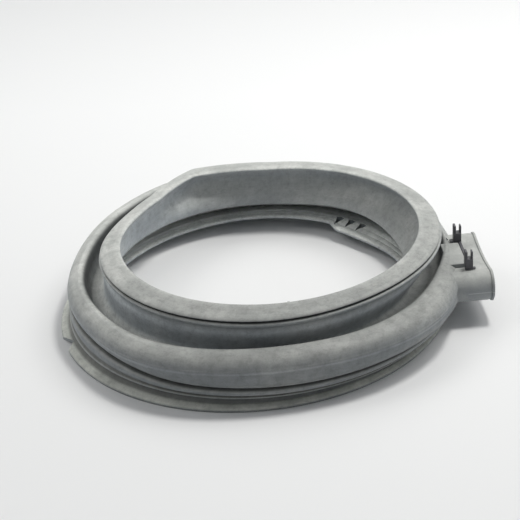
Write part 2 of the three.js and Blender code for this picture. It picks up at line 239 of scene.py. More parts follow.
# Wear: noise size, detail, roughness and stretch, where it starts and is full, its share and its tone.
STREAKS = {"noise": (1.0, 5, 0.6, (60, 0.5, 1)), "range": (0.46, 0.7), "share": 0.5, "tone": 1.16}
SMEARS = {"noise": (95, 7, 0.75, (1, 1, 0.3)), "range": (0.5, 0.68), "share": 0.75, "tone": 0.8}
MARKS = {"noise": (1.0, 6, 0.75, (150, 0.16, 1)), "range": (0.48, 0.62), "share": 0.85, "tone": 0.8}
PATCHES = {"noise": (48, 6, 0.7), "range": (0.52, 0.64), "share": 0.7, "tone": 1.17}
GRAIN = {"noise": (700, 3, 0.6), "range": (0.95, 1.05)}

# Gloss and relief: noise size, detail and roughness, then the roughness's range or the strength and metres.
BODY_NOISE = (16, 5, 0.6)
BLOOM_AND_TOP_LIGHT_NOISE = (30, 6, 0.65)
RUBBER_ROUGHNESS = {"noise": (34, 5, 0.6), "range": (0.42, 0.66)}
RUBBER_SPECULAR = 0.3
RUBBER_PORES = {"noise": (1300, 3, 0.55), "strength": 0.12, "metres": 0.0004}
RUBBER_WAVES = {"noise": (55, 4, 0.5), "strength": 0.3, "metres": 0.0012}
PLASTIC_NOISE = (240, 4, 0.6)
PLASTIC_ROUGHNESS = {"noise": (500, 3, 0.5), "range": (0.34, 0.52)}
PLASTIC_PORES = {"noise": (2200, 2, 0.5), "strength": 0.15, "metres": 0.0002}

PLASTIC_COLOURS = ((0.3, (0.05, 0.05, 0.056)), (0.6, (0.066, 0.066, 0.074)), (0.8, (0.1, 0.1, 0.108)))
FLOOR_SIZE = 6.0
# Painted shade on the floor: its grey grows darker towards the front.
FLOOR_SHADE_DEPTH = (-0.7, 0.6)
FLOOR_SHADED_GREYS = ((0, 0.77), (0.55, 0.82), (1, 0.9))
FLOOR_ROUGHNESS = 0.7
FLOOR_SPECULAR = 0.1
NOISE_RANGE = (0.3, 0.7)


def smooth(start, end, value):
    t = np.clip((value - start) / (end - start), 0, 1)
    return t * t * (3 - 2 * t)


def turn(angle):
    return (np.mod(angle, 360) + 540) % 360 - 180


def bell(angle, at, spread):
    away = np.clip(np.abs(turn(angle - at)) / spread, None, 1)
    return 0.5 + 0.5 * np.cos(np.pi * away)


# How much of the sideways shift of the lip a point of the section takes.
def shift_share(r, z):
    low, high = SHIFT["inner_z"]
    inner = np.clip((z - low) / (high - low), 0, 1)
    outer = ROLL_SHARE * smooth(*SHIFT["outer_z"], z)
    blend = smooth(*SHIFT["radius"], r) * (1 - smooth(*SHIFT["top_z"], z))
    return inner + (outer - inner) * blend


# The crease at the back left pushes the lip and the neck out and up.
def kink_amount(angle, r, z):
    skew = KINK["skew"] * (LIP_OUTER_RADIUS - r) / (LIP_OUTER_RADIUS - LIP_OPENING_RADIUS)
    away = turn(angle - KINK["angle"] - skew)
    reach = np.where(away < 0, KINK["right"], KINK["left"])
    near = np.clip(1 - np.abs(away) / reach, 0, None)
    return near ** KINK["power"] * smooth(*KINK["rise_z"], z)


# The roll bulges out at the back left.
def bulge_amount(angle, r, z):
    body = smooth(*BULGE["radius"], r) * smooth(*BULGE["foot_z"], z) * (1 - smooth(*ROLL_TOP_Z, z))
    return bell(angle, BULGE["angle"], BULGE["spread"]) * body


# The roll is drawn in at the front, swells beside it and is flattened behind the duct.
def roll_offset(angle, r, z):
    away = np.abs(turn(angle - SAG["angle"]))
    wave = -np.cos(np.pi * away / SAG["half_period"])
    start, end = SAG["fade"]
    fade = 1 - smooth(start * SAG["half_period"], end * SAG["half_period"], away)
    sag = SAG["out"] * wave * fade * smooth(*SAG["radius"], r)
    flat = DUCT_FLAT["inward"] * bell(angle, DUCT_FLAT["angle"], DUCT_FLAT["spread"])
    flat = flat * smooth(*DUCT_FLAT["radius"], r)
    return (sag - flat) * smooth(*ROLL_FOOT_Z, z) * (1 - smooth(*ROLL_TOP_Z, z))


# The roll's inner side stands further out at the left, and further in at the right front.
def inner_side_offset(angle, r, z):
    inner = smooth(*INNER_SIDE["from_radius"], r) * (1 - smooth(*INNER_SIDE["to_radius"], r))
    inner = inner * smooth(*INNER_SIDE["foot_z"], z) * (1 - smooth(*ROLL_TOP_Z, z))
    out = NARROW["out"] * bell(angle, NARROW["angle"], NARROW["spread"])
    out = out - TUCK["inward"] * bell(angle, TUCK["angle"], TUCK["spread"])
    return out * inner


# The lip is narrower at the right front: its outer edge stands further in.
def lip_trim(angle, r, z):
    edge = smooth(*LIP_TRIM["from_radius"], r) * (1 - smooth(*LIP_TRIM["to_radius"], r))
    edge = edge * smooth(*LIP_TRIM["from_z"], z)
    return LIP_TRIM["inward"] * bell(angle, LIP_TRIM["angle"], LIP_TRIM["spread"]) * edge


# The lower edge of the inner wall stands higher at the back and at the right of it.
def wall_edge_rise(angle, r, z):
    edge = (1 - smooth(*WALL_EDGE["radius"], r)) * smooth(*WALL_EDGE["from_z"], z)
    edge = edge * (1 - smooth(*WALL_EDGE["to_z"], z))
    back = WALL_EDGE["up"] * bell(angle, WALL_EDGE["angle"], WALL_EDGE["spread"])
    return (back + WALL_GAP["up"] * bell(angle, WALL_GAP["angle"], WALL_GAP["spread"])) * edge


# The lower ring stands higher at the back.
def ring_rise(angle, r, z):
    ring = (1 - smooth(*RING_RISE["radius"], r)) * smooth(*RING_RISE["from_z"], z)
    ring = ring * (1 - smooth(*RING_RISE["to_z"], z))
    return ring * RING_RISE["up"] * bell(angle, RING_RISE["angle"], RING_RISE["spread"])


# The skirt and the bead lean to the right as they rise, while the channel between them stays straight.
def lean_offset(r, z):
    outside = smooth(*LEAN["from_z"], z) * (1 - smooth(*LEAN["to_z"], z))
    low, high = LEAN["channel_r"]
    channel = 1 - smooth(CHANNEL_OUTER_RADIUS + low, CHANNEL_OUTER_RADIUS + high, r)
    channel = channel * (1 - smooth(CHANNEL_DEPTH, CHANNEL_DEPTH + LEAN["channel_z"], z))
    return FLANGE_LEAN * smooth(*LEAN["radius"], r) * (outside + (CHANNEL_LEAN_SHARE - outside) * channel)


# The bead over the clamp groove rides up at the left front.
def raise_amount(angle, r, z):
    band = smooth(*RAISE["radius"], r) * smooth(*RAISE["from_z"], z) * (1 - smooth(*RAISE["to_z"], z))
    return RAISE["up"] * bell(angle, RAISE["angle"], RAISE["spread"]) * band


# The lower ring widens inwards into a lobe at the back right.
def lobe_offset(angle, r, z):
    rise = smooth(LOBE_FROM, LOBE_FROM + LOBE_RAMP, angle)
    along = rise * (1 - smooth(LOBE_TO - LOBE_RISE, LOBE_TO, angle))
    inner = 1 - smooth(RING_INNER_RADIUS, RING_INNER_RADIUS + LOBE_FADE["width"], r)
    return LOBE_DEPTH * along * inner * (1 - smooth(*LOBE_FADE["top_z"], z))


# How far out a radius lies from a pivot, as a share of the way to the lip's outer edge.
def lip_lever(r, form):
    return (r - form["pivot_radius"]) / (LIP_OUTER_RADIUS - form["pivot_radius"])


# Where points of the section go at an angle round the opening, in metres in the part's frame.
def place(r, z, angle):
    kink = kink_amount(angle, r, z)
    bulge = bulge_amount(angle, r, z)
    lip = smooth(*LIP_Z, z)
    dent = DENT["inward"] * bell(angle, DENT["angle"], DENT["spread"]) * lip * lip_lever(r, DENT)
    radius = r + KINK["out"] * kink + BULGE["out"] * bulge - dent
    radius = radius + roll_offset(angle, r, z) - lobe_offset(angle, r, z)
    radius = radius + inner_side_offset(angle, r, z) - lip_trim(angle, r, z)
    tilt = LIP_TILT["rise"] * bell(angle, LIP_TILT["angle"], LIP_TILT["spread"]) * lip
    tilt = tilt * lip_lever(r, LIP_TILT)
    a = np.radians(angle)
    shift = LIP_SHIFT * shift_share(r, z) - FOOT_SHIFT * (1 - smooth(*SHIFT["foot_z"], z))
    x = radius * np.cos(a) + shift + lean_offset(r, z)
    y = radius * np.sin(a)
    height = z + KINK["lift"] * kink + BULGE["lift"] * bulge + tilt + raise_amount(angle, r, z)
    height = height + wall_edge_rise(angle, r, z) + ring_rise(angle, r, z)
    return MM * (np.stack([x, y, np.minimum(height, LIP_TOP_LIMIT)], -1) - np.array(ORIGIN))


# The rubber's cross-section as smooth runs that meet in corners, from the foot round to the skirt.
SECTION_RUNS = (
    ((199.2, 0), (196.8, 0)),
    ((196.8, 0), (189, 3.6)),
    ((189, 3.6), (189, 12.5)),
    ((189, 12.5), (184, 12.5)),
    ((184, 12.5), (184, 0)),
    ((184, 0), (179.8, 0)),
    ((179.8, 0), (179.8, 9)),
    ((179.8, 9), (170, 9.1), (158.6, 9.4)),
    ((158.6, 9.4), (156.8, 10.4), (156.5, 11.8), (157.1, 13), (158.6, 13.9), (161.6, 14.4), (162.4, 13.9)),
    ((162.4, 13.9), (163.2, 14.6), (165.4, 15), (166.2, 14.6)),
    ((166.2, 14.6), (167, 15.2), (170.5, 15.9), (171.6, 15.6)),
    ((171.6, 15.6), (176, 16.6), (183, 18.2), (189, 21), (194, 26.5), (197.4, 34), (198.3, 41), (194, 47.2),
     (190, 48.8), (186, 48.2), (183, 44.6), (182.2, 40), (181.4, 35), (177.5, 28.8), (168, 26.6), (161, 27),
     (154.5, 30), (151, 32), (151.4, 34.2), (154.4, 44), (158, 54), (160.4, 64.5), (159.6, 69.5), (157, 72.4),
     (152.6, 75), (149.6, 76.6), (149, 78.2), (149.6, 79.1), (151, 79.5), (154, 79.2), (160, 78), (165, 76.9),
     (167.3, 76.2), (169.3, 75.2), (170.3, 74.2), (169.8, 73.4), (168, 73.2), (165, 73.1)),
    ((165, 73.1), (165, 71.4)),
    ((165, 71.4), (168.4, 71.6), (170.3, 71.5), (171.2, 70.9), (171.6, 69.9), (171.3, 68.8), (170.2, 67.6),
     (168.2, 66.2), (166.6, 64), (165.4, 60), (163.6, 52), (161, 45), (158.9, 39.6), (158.6, 36.4),
     (160.4, 33.4), (164, 31.8), (169, 31.6), (173.6, 33.4),
     (176.6, 38), (178.2, 44), (178.8, 49), (180.4, 52), (183.4, 53.4), (187, 53.5), (191, 52.8),
     (195.2, 51.1), (198.8, 48.4), (201.2, 44.8), (202, 42.2)),
    ((202, 42.2), (202.28, 41.7), (202.3, 41.1), (202, 40.4)),
    ((202, 40.4), (201.7, 36), (200.9, 31), (199.7, 26.8)),
    ((199.7, 26.8), (199.9, 26.2), (199.4, 25.5), (197.6, 23.6), (194.6, 21.6)),
    ((194.6, 21.6), (196.6, 21), (198.1, 20), (198.8, 18.6), (198.6, 17.2), (197.4, 15.6), (195.4, 14.2)),
    ((195.4, 14.2), (196.5, 13.3), (196.8, 12.5), (196.2, 11.8), (195, 11.3), (193.6, 11)),
    ((193.6, 11), (193.3, 8.2), (193.6, 5.6)),
    ((193.6, 5.6), (196.6, 4.1), (199, 3), (199.6, 2.3), (199.6, 1.3), (199.4, 0.3), (199.2, 0)),
)


# A centripetal spline through the points of one run.
def spline(points, step):
    p = np.array(points, float)
    if len(p) == 2:
        count = max(1, int(np.ceil(np.linalg.norm(p[1] - p[0]) / (2 * step))))
        return [tuple(p[0] + (p[1] - p[0]) * k / count) for k in range(count)]
    ends = np.vstack([2 * p[0] - p[1], p, 2 * p[-1] - p[-2]])
    curve = []
    for i in range(1, len(ends) - 2):
        a, b, c, d = ends[i - 1:i + 3]
        t0 = 0.0
        t1 = t0 + np.linalg.norm(b - a) ** 0.5
        t2 = t1 + np.linalg.norm(c - b) ** 0.5
        t3 = t2 + np.linalg.norm(d - c) ** 0.5
        count = max(2, int(np.ceil(np.linalg.norm(c - b) / step)))
        for k in range(count):
            t = t1 + (t2 - t1) * k / count
            ab = a * (t1 - t) / (t1 - t0) + b * (t - t0) / (t1 - t0)
            bc = b * (t2 - t) / (t2 - t1) + c * (t - t1) / (t2 - t1)
            cd = c * (t3 - t) / (t3 - t2) + d * (t - t2) / (t3 - t2)
            abc = ab * (t2 - t) / (t2 - t0) + bc * (t - t0) / (t2 - t0)
            bcd = bc * (t3 - t) / (t3 - t1) + cd * (t - t1) / (t3 - t1)
            curve.append(tuple(abc * (t2 - t) / (t2 - t1) + bcd * (t - t1) / (t2 - t1)))
    return curve


def fine_section():
    points = []
    for run in SECTION_RUNS:
        points += spline(run, RUN_STEP)
    return np.array(points)


def new_object(name, verts, faces):
    mesh = bpy.data.meshes.new(name)
    mesh.from_pydata([tuple(v) for v in verts], [], [tuple(f) for f in faces])
    mesh.update()
    obj = bpy.data.objects.new(name, mesh)
    bpy.context.scene.collection.objects.link(obj)
    return obj


# A closed ring swept from a section, with the way round and the way along the section as its map.
def ring_object(name, section, steps):
    angles = np.arange(steps) * 360.0 / steps
    count = len(section)
    grid_angle, grid_r = np.meshgrid(angles, section[:, 0], indexing="ij")
    grid_z = np.broadcast_to(section[:, 1], grid_r.shape)
    verts = place(grid_r, grid_z, grid_angle).reshape(-1, 3)
    k, i = np.meshgrid(np.arange(steps), np.arange(count), indexing="ij")
    j = (i + 1) % count
    following = (k + 1) % steps
    faces = np.stack([k * count + i, k * count + j, following * count + j, following * count + i], -1)
    obj = new_object(name, verts, faces.reshape(-1, 4))
    lengths = np.linalg.norm(np.roll(section, -1, 0) - section, axis=1)
    station = np.concatenate([[0], np.cumsum(lengths)])
    layer = obj.data.uv_layers.new(name="section")
    low, high = station[i], station[i + 1]
    here, there = k / steps, (k + 1) / steps
    uv = np.stack([here, low, here, high, there, high, there, low], -1).reshape(-1)
    layer.data.foreach_set("uv", uv.astype(np.float32))
    return obj


# Boolean of two closed meshes; the second one is used up.
def combine(base, tool, operation):
    modifier = base.modifiers.new("join", "BOOLEAN")
    modifier.object = tool
    modifier.operation = operation
    modifier.solver = "EXACT"
    depsgraph = bpy.context.evaluated_depsgraph_get()
    mesh = bpy.data.meshes.new_from_object(base.evaluated_get(depsgraph))
    base.modifiers.clear()
    old = base.data
    base.data = mesh
    bpy.data.meshes.remove(old)
    bpy.data.objects.remove(tool)


def plain_uv(obj, station):
    layer = obj.data.uv_layers.new(name="section")
    uv = np.tile(np.array([0.5, station], np.float32), len(obj.data.loops))
    layer.data.foreach_set("uv", uv)


# A solid lofted through outlines with the same number of points.
def loft(name, outlines):
    outlines = np.array(outlines)
    rows, count = outlines.shape[:2]
    faces = []
    for k in range(rows - 1):
        for i in range(count):
            j = (i + 1) % count
            faces.append((k * count + i, k * count + j, (k + 1) * count + j, (k + 1) * count + i))
    faces.append(tuple(reversed(range(count))))
    faces.append(tuple((rows - 1) * count + i for i in range(count)))
    obj = new_object(name, outlines.reshape(-1, 3), faces)
    outward(obj)
    return obj


def outward(obj):
    bm = bmesh.new()
    bm.from_mesh(obj.data)
    bmesh.ops.recalc_face_normals(bm, faces=bm.faces)
    bm.to_mesh(obj.data)
    bm.free()


# A rounded rectangle across the duct, with a top that sags in the middle, as (y, z).
def duct_outline(width, bottom, top, sag, arc_steps=12):
    radius = (top - bottom) / 2 - DUCT_ARC_INSET
    half = width / 2
    points = []
    for centre_z, start in ((bottom + radius, -90), (top - radius, 0)):
        for k in range(arc_steps + 1):
            a = math.radians(start + 90 * k / arc_steps)
            points.append((half - radius + radius * math.cos(a), centre_z + radius * math.sin(a)))
    straight = half - radius
    for k in range(1, 2 * arc_steps):
        t = k / (2 * arc_steps)
        points.append((straight * (1 - 2 * t), top - 4 * sag * t * (1 - t)))
    for centre_z, start in ((top - radius, 90), (bottom + radius, 180)):
        for k in range(arc_steps + 1):
            a = math.radians(start + 90 * k / arc_steps)
            points.append((radius - half + radius * math.cos(a), centre_z + radius * math.sin(a)))
    for k in range(1, arc_steps):
        points.append((-straight + 2 * straight * k / arc_steps, bottom))
    return np.array(points)


def across(outline, x):
    points = np.column_stack([np.full(len(outline), float(x)), outline[:, 0] + DUCT_CENTRE_Y, outline[:, 1]])
    return MM * (points - np.array(ORIGIN))


# The duct's outside: a plain body, a fine groove, and a raised rim at the mouth.
def duct_body():
    outlines = []
    for x, grow in [(DUCT_INNER_X, 0)] + [(DUCT_END_X + beyond, grow) for beyond, grow in MOUTH_PROFILE]:
        outline = duct_outline(DUCT_WIDTH + 2 * grow, DUCT_BOTTOM_Z - grow, DUCT_TOP_Z + grow, DUCT_SAG)
        outlines.append(across(outline, x))
    return loft("duct_body", outlines)


# The duct's bore, which flares out beyond the mouth.
def duct_bore():
    outlines = []
    for x, grow in [(BORE_INNER_X, 0)] + [(DUCT_END_X + beyond, grow) for beyond, grow in BORE_PROFILE]:
        outline = duct_outline(DUCT_WIDTH - 2 * DUCT_WALL + 2 * grow, DUCT_BOTTOM_Z + DUCT_WALL - grow,
                               DUCT_TOP_Z - DUCT_WALL + grow, DUCT_SAG)
        outlines.append(across(outline, x))
    return loft("duct_bore", outlines)


# All that lies inside a surface some way in from the roll's outer face.
def roll_core(depth):
    top = ROLL_CREST_Z - min(depth, RUBBER_THICKNESS)
    face = [(r - inward * depth, z - down * depth) for r, inward, z, down in CORE_FACE]
    section = [(CORE_INNER_RADIUS, top), (CORE_TOP_RADIUS, top), *face, (CORE_INNER_RADIUS, CORE_BOTTOM_Z)]
    return ring_object("roll_core", np.array(section), CORE_STEPS)


def box_object(name, low, high, bevel=0.0):
    low = MM * (np.array(low, float) - np.array(ORIGIN))
    high = MM * (np.array(high, float) - np.array(ORIGIN))
    mesh = bpy.data.meshes.new(name)
    bm = bmesh.new()
    size = Matrix.Diagonal((*(high - low), 1))
    bmesh.ops.create_cube(bm, size=1, matrix=Matrix.Translation(Vector((low + high) / 2)) @ size)
    if bevel:
        bmesh.ops.bevel(bm, geom=bm.edges[:], offset=bevel * MM, segments=3, affect="EDGES", profile=0.5)
    bm.to_mesh(mesh)
    bm.free()
    obj = bpy.data.objects.new(name, mesh)
    bpy.context.scene.collection.objects.link(obj)
    return obj


# The flat panel between the clip's posts, with rounded edges.
def duct_pad():
    low = (PAD_FROM_X, CLIP_CENTRE_Y - PAD_LENGTH_Y / 2, DUCT_BOTTOM_Z + PAD_DEPTH_Z)
    high = (PAD_TO_X, CLIP_CENTRE_Y + PAD_LENGTH_Y / 2, DUCT_TOP_Z + PAD_HEIGHT)
    return box_object("duct_pad", low, high, PAD_BEVEL)


# Room for one post and its foot on the duct's top.
def seat_cut(centre_y):
    half = POST_SIZE / 2 + SEAT_MARGIN
    low = (CLIP_X - half - SEAT_REACH, centre_y - half, DUCT_TOP_Z)
    return box_object("seat_cut", low, (CLIP_X + half, centre_y + half, DUCT_TOP_Z + CUT_HEIGHT))


# The flat shelf between the pad and the rim.
def shelf_cut():
    half = (CLIP_PITCH + POST_SIZE) / 2 + SEAT_MARGIN
    low = (PAD_TO_X, CLIP_CENTRE_Y - half, DUCT_TOP_Z)
    high = (DUCT_END_X - SHELF_MARGIN, CLIP_CENTRE_Y + half, DUCT_TOP_Z + CUT_HEIGHT)
    return box_object("shelf_cut", low, high)


def polar(radius, angle):
    a = math.radians(angle)
    return radius * math.cos(a), radius * math.sin(a)


def prism(name, points, bottom, top):
    outlines = []
    for z in (bottom, top):
        outlines.append([MM * (np.array([x, y, z]) - np.array(ORIGIN)) for x, y in points])
    return loft(name, outlines)


# The wedge that leaves the notch in the skirt.
def notch_cut():
    outer = TUB_RADIUS + NOTCH_OVERCUT
    points = (polar(NOTCH_TIP_RADIUS, NOTCH_TIP_ANGLE), polar(outer, NOTCH_FROM_ANGLE),
              polar(outer, NOTCH_TO_ANGLE))
    return prism("notch_cut", points, -NOTCH_OVERCUT, NOTCH_TOP_Z)


# A wedge that leaves one drain recess in the lobe.
def recess_cut(angle):
    half_angle = math.degrees(RECESS_HALF_WIDTH / RECESS_END_RADIUS)
    points = (polar(RECESS_TIP_RADIUS, angle), polar(RECESS_END_RADIUS, angle - half_angle),
              polar(RECESS_END_RADIUS + 1, angle), polar(RECESS_END_RADIUS, angle + half_angle))
    return prism("recess_cut", points, RING_TOP_Z - RECESS_DEPTH, RING_TOP_Z + RECESS_OVERCUT)


# A small moulding nub that stands out of the surface at a station of the section.
def moulding_nub(nub):
    x, y, z = place(nub["radius"], nub["z"], nub["angle"]) / MM + np.array(ORIGIN)
    half = nub["size"] / 2
    return box_object("nub", (x - half, y - half, z - half), (x + half, y + half, z + half), half / 3)


def shade(obj, sharp_degrees):
    bm = bmesh.new()
    bm.from_mesh(obj.data)
    limit = math.radians(sharp_degrees)
    for face in bm.faces:
        face.smooth = True
    for edge in bm.edges:
        edge.smooth = len(edge.link_faces) == 2 and edge.calc_face_angle(0) < limit
    bm.to_mesh(obj.data)
    bm.free()


def door_seal():
    seal = ring_object("seal_rubber", fine_section(), AZIMUTH_STEPS)
    duct = duct_body()
    plain_uv(duct, 0)
    pad = duct_pad()
    plain_uv(pad, 0)
    combine(duct, pad, "UNION")
    combine(duct, roll_core(RUBBER_THICKNESS / 2), "DIFFERENCE")
    combine(seal, duct, "UNION")
    bore = duct_bore()
    combine(bore, roll_core(RUBBER_THICKNESS + 4), "DIFFERENCE")
    combine(seal, bore, "DIFFERENCE")
    combine(seal, notch_cut(), "DIFFERENCE")
    for centre_y in (CLIP_CENTRE_Y - CLIP_PITCH / 2, CLIP_CENTRE_Y + CLIP_PITCH / 2):
        combine(seal, seat_cut(centre_y), "DIFFERENCE")
    combine(seal, shelf_cut(), "DIFFERENCE")
    for angle in RECESS_ANGLES:
        combine(seal, recess_cut(angle), "DIFFERENCE")
    combine(seal, moulding_nub(LIP_NUB), "UNION")
    shade(seal, SHARP_RUBBER)
    return seal


# A forked post: a block with a thick and a thin prong, and a hooked foot.
def forked_post(centre_y, foot_side):
    half = POST_SIZE / 2
    base = DUCT_TOP_Z + CLIP_GAP
    top = base + POST_HEIGHT + PRONG_HEIGHT
    x0, x1 = CLIP_X - half, CLIP_X + half
    y0, y1 = centre_y - half, centre_y + half
    pieces = [box_object("post", (x0, y0, base), (x1, y1, base + POST_HEIGHT), POST_BEVEL)]
    root = base + PRONG_ROOT
    pieces.append(box_object("prong", (x0, y0, root), (x0 + PRONG_THICKNESS, y1, top), PRONG_BEVEL))
    low = (x1 - PRONG_THICKNESS * THIN_PRONG["share"], y0 + THIN_PRONG["inset"], root)
    high = (x1, y1 - THIN_PRONG["inset"], top - THIN_PRONG["drop"])
    pieces.append(box_object("prong", low, high, THIN_PRONG["bevel"]))
    if foot_side < 0:
        low = (x0 - FAR_FOOT["reach"], y0 + FAR_FOOT["inset"], base)
        high = (x0 + FOOT_ROOT, y1 - FAR_FOOT["inset"], base + FAR_FOOT["height"])
        pieces.append(box_object("foot", low, high, FAR_FOOT["bevel"]))
    else:
        low = (x1 - FOOT_ROOT, y0 + NEAR_FOOT["inset"], base)
        high = (x1 + NEAR_FOOT["reach"], low[1] + NEAR_FOOT["width"], base + NEAR_FOOT["height"])
        pieces.append(box_object("foot", low, high, NEAR_FOOT["bevel"]))
    return pieces


# The clip: two forked posts joined by a thin strip.
def duct_clip():
    base = DUCT_TOP_Z + CLIP_GAP
    low = (PAD_TO_X + CLIP_GAP, CLIP_CENTRE_Y - CLIP_PITCH / 2, base)
    high = (low[0] + STRIP_WIDTH, CLIP_CENTRE_Y + CLIP_PITCH / 2, base + STRIP_HEIGHT)
    clip = box_object("clip_plastic", low, high, STRIP_BEVEL)
    far = forked_post(CLIP_CENTRE_Y + CLIP_PITCH / 2, -1)
    near = forked_post(CLIP_CENTRE_Y - CLIP_PITCH / 2, 1)
    for piece in far + near:
        combine(clip, piece, "UNION")
    shade(clip, SHARP_PLASTIC)
    return clip


# An empty node material with its shader.
def material(name):
    mat = bpy.data.materials.new(name)
    mat.use_nodes = True
    nodes = mat.node_tree.nodes
    nodes.clear()
    output = nodes.new("ShaderNodeOutputMaterial")
    shader = nodes.new("ShaderNodeBsdfPrincipled")
    mat.node_tree.links.new(shader.outputs["BSDF"], output.inputs["Surface"])
    return mat, nodes, mat.node_tree.links, shader


def noise(nodes, links, vector, scale, detail=4, rough=0.55, stretch=None):
    node = nodes.new("ShaderNodeTexNoise")
    node.inputs["Scale"].default_value = scale
    node.inputs["Detail"].default_value = detail
    node.inputs["Roughness"].default_value = rough
    if stretch:
        mapping = nodes.new("ShaderNodeMapping")
        mapping.inputs["Scale"].default_value = stretch
        links.new(vector, mapping.inputs["Vector"])
        vector = mapping.outputs["Vector"]
    links.new(vector, node.inputs["Vector"])
    return node.outputs["Fac"]


def ramp(nodes, links, value, stops):
    node = nodes.new("ShaderNodeValToRGB")
    elements = node.color_ramp.elements
    while len(elements) < len(stops):
        elements.new(0.5)
    for element, (position, colour) in zip(elements, stops):
        element.position = position
        element.color = colour if len(colour) == 4 else (*colour, 1)
    links.new(value, node.inputs["Fac"])
    return node.outputs["Color"]


def grey(value):
    return (value, value, value)


def span(nodes, links, value, low, high, to_low=0.0, to_high=1.0):
    node = nodes.new("ShaderNodeMapRange")
    node.inputs["From Min"].default_value = low
    node.inputs["From Max"].default_value = high
    node.inputs["To Min"].default_value = to_low
    node.inputs["To Max"].default_value = to_high
    links.new(value, node.inputs["Value"])
    return node.outputs["Result"]


def mix(nodes, links, kind, factor, a, b):
    node = nodes.new("ShaderNodeMix")
    node.data_type = "RGBA"
    node.blend_type = kind
    for socket, value in ((node.inputs[0], factor), (node.inputs[6], a), (node.inputs[7], b)):
        if isinstance(value, bpy.types.NodeSocket):
            links.new(value, socket)
        elif isinstance(value, tuple):
            socket.default_value = (*value, 1)
        else:
            socket.default_value = value
    return node.outputs[2]


def maths(nodes, links, operation, a, b=None):
    node = nodes.new("ShaderNodeMath")
    node.operation = operation
    for socket, value in zip(node.inputs, (a, b)):
        if value is None:
            continue
        if isinstance(value, bpy.types.NodeSocket):
            links.new(value, socket)
        else:
            socket.default_value = value
    return node.outputs[0]


# A noise value brought to a form's range.
def noise_span(nodes, links, vector, form):
    return span(nodes, links, noise(nodes, links, vector, *form["noise"]), *NOISE_RANGE, *form["range"])


def bump(nodes, links, shader, vector, form, under=None):
    height = noise(nodes, links, vector, *form["noise"])
    node = nodes.new("ShaderNodeBump")
    node.inputs["Strength"].default_value = form["strength"]
    node.inputs["Distance"].default_value = form["metres"]
    links.new(height, node.inputs["Height"])
    if under:
        links.new(under, node.inputs["Normal"])
    links.new(node.outputs["Normal"], shader.inputs["Normal"])
    return node.outputs["Normal"]


# A ramp of greys along the section, from stops in millimetres.
def section_tone(nodes, links, station, stops):
    low, high = stops[0][0], stops[-1][0]
    share = span(nodes, links, station, low, high)
    return ramp(nodes, links, share, [((at - low) / (high - low), grey(tone)) for at, tone in stops])


# The colour times a tone, where the share is one.
def toned(nodes, links, colour, share, tone):
    return mix(nodes, links, "MIX", share, colour, mix(nodes, links, "MULTIPLY", 1.0, colour, grey(tone)))


def axes(nodes, links, vector):
    node = nodes.new("ShaderNodeSeparateXYZ")
    links.new(vector, node.inputs["Vector"])
    return node.outputs


# Mottled grey sides, with a paler chalky bloom and painted top light where the surface faces up.
def mottled_colour(nodes, links, here):
    normal = axes(nodes, links, nodes.new("ShaderNodeNewGeometry").outputs["Normal"])
    body = ramp(nodes, links, noise(nodes, links, here, *BODY_NOISE), BODY_COLOURS)
    bloom_and_top_light = ramp(nodes, links, noise(nodes, links, here, *BLOOM_AND_TOP_LIGHT_NOISE), BLOOM_AND_TOP_LIGHT_COLOURS)
    return mix(nodes, links, "MIX", span(nodes, links, normal["Z"], *BLOOM_AND_TOP_LIGHT_SLOPE), body, bloom_and_top_light)


# Painted light and shade along the section: painted shade in the grooves, gaps and cavity, painted light on
# the neck, ring and skirt, a painted highlight on the roll's parting line, a painted bounce tint in the clamp
# groove, and a paler rubbed edge.
def section_painted_shade(nodes, links, colour, station):
    tone = section_tone(nodes, links, station, SECTION_LIGHT_AND_SHADE)
    skirt = section_tone(nodes, links, station, SKIRT_LIGHT_AND_SHADE)
    tone = mix(nodes, links, "MIX", span(nodes, links, station, *SKIRT_FROM), tone, skirt)
    colour = mix(nodes, links, "MULTIPLY", 1.0, colour, tone)
    bounce_share = span(nodes, links, station, *GROOVE_BOUNCE_TINT_FROM)
    return mix(nodes, links, "MULTIPLY", bounce_share, colour, GROOVE_BOUNCE_TINT)


# Painted highlight: a thin pale line along the parting line round the duct.
def duct_seam_highlight(nodes, links, colour, place_on):
    away = maths(nodes, links, "SUBTRACT", place_on["Z"], DUCT_SEAM_Z * MM)
    away = maths(nodes, links, "ABSOLUTE", away, 0.0)
    line = span(nodes, links, away, *SEAM_HALF_WIDTH, 1.0, 0.0)
    on_duct = span(nodes, links, place_on["X"], *DUCT_FROM_X)
    return toned(nodes, links, colour, maths(nodes, links, "MULTIPLY", on_duct, line), SEAM_HIGHLIGHT_TONE)


# Painted shade towards the front, painted light at the left and on the left part of the inner wall, and the
# painted seam highlight.
def painted_light_by_place(nodes, links, colour, here, station):
    place_on = axes(nodes, links, here)
    colour = mix(nodes, links, "MULTIPLY", 1.0, colour, span(nodes, links, place_on["Y"], *FRONT_SHADE_TO_BACK_LIGHT))
    colour = mix(nodes, links, "MULTIPLY", 1.0, colour, span(nodes, links, place_on["X"], *LEFT_SIDE_LIGHT))
    colour = duct_seam_highlight(nodes, links, colour, place_on)
    on_wall = maths(nodes, links, "MULTIPLY", span(nodes, links, station, *WALL_FROM),
                    span(nodes, links, station, *WALL_TO, 1.0, 0.0))
    return mix(nodes, links, "MULTIPLY", on_wall, colour, span(nodes, links, place_on["X"], *WALL_LEFT_LIGHT))


def worn(nodes, links, colour, vector, wear):
    share = span(nodes, links, noise(nodes, links, vector, *wear["noise"]), *wear["range"], 0, wear["share"])
    return toned(nodes, links, colour, share, wear["tone"])


